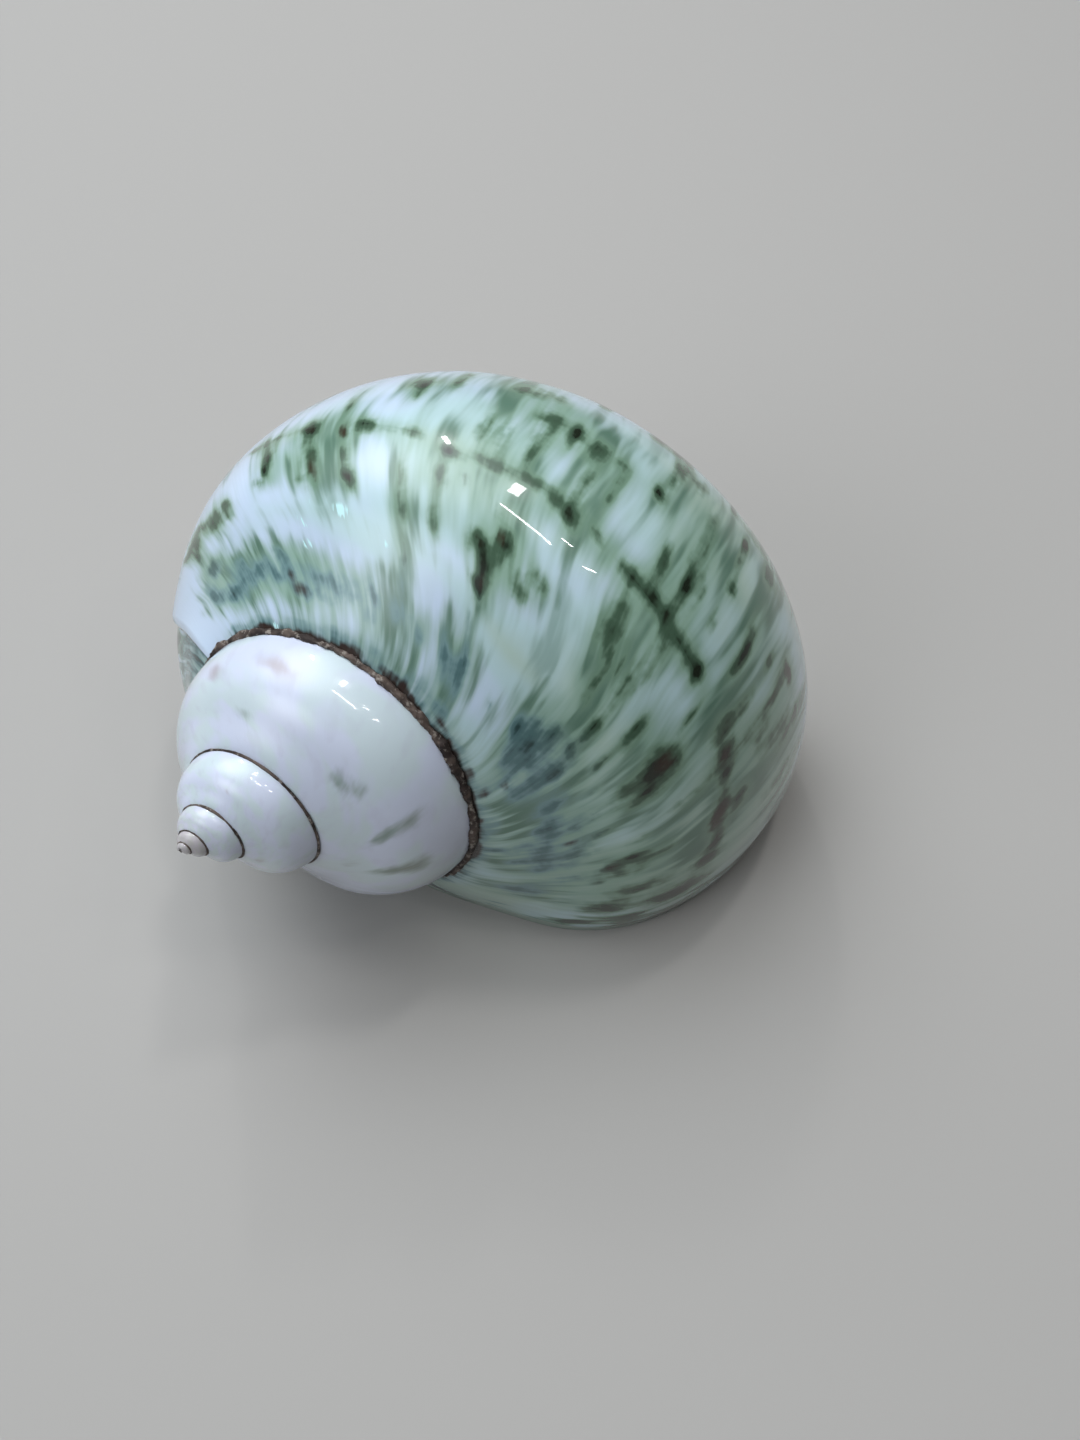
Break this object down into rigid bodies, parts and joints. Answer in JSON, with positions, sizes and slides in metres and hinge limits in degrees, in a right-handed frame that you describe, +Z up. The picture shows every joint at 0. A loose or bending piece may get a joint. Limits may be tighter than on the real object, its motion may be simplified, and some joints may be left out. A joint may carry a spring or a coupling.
{
  "type": "sea snail shell",
  "caption": "Large polished turban sea shell with a rounded body whorl, a low white spire, a mossy green pattern and a pearly mouth, lying on its mouth.",
  "frame": {"origin": "centre of the bottom of the bounding box, on the surface that the shell rests on", "axes": "+Z up, +X the way the coiling axis runs from apex to base seen from above, +Y to the side away from the free edge of the mouth"},
  "size_m": [0.1192, 0.1192, 0.0898],
  "materials": {
    "green_shell": "polished natural shell, white to pale mint with grey-green and brown marks, wet gloss",
    "white_shell": "polished natural shell, white with a faint lilac pearl sheen, wet gloss",
    "ground_lip": "thick shell edge, ground smooth, satin",
    "rough_seam": "unpolished brown-grey shell crust, matt and rough",
    "pearl": "mother of pearl, soft pink, green and blue lustre"
  },
  "bodies": {
    "root": {"body_whorl": "green_shell", "body_whorl_early": "green_shell", "outer_lip": "ground_lip", "penultimate_whorl": "white_shell", "spire_whorl_3": "white_shell", "spire_whorl_2": "white_shell", "protoconch": "white_shell", "suture_seam": "rough_seam", "nacre_lining": "pearl", "parietal_callus": "pearl", "columella": "pearl"}
  },
  "joints": []
}
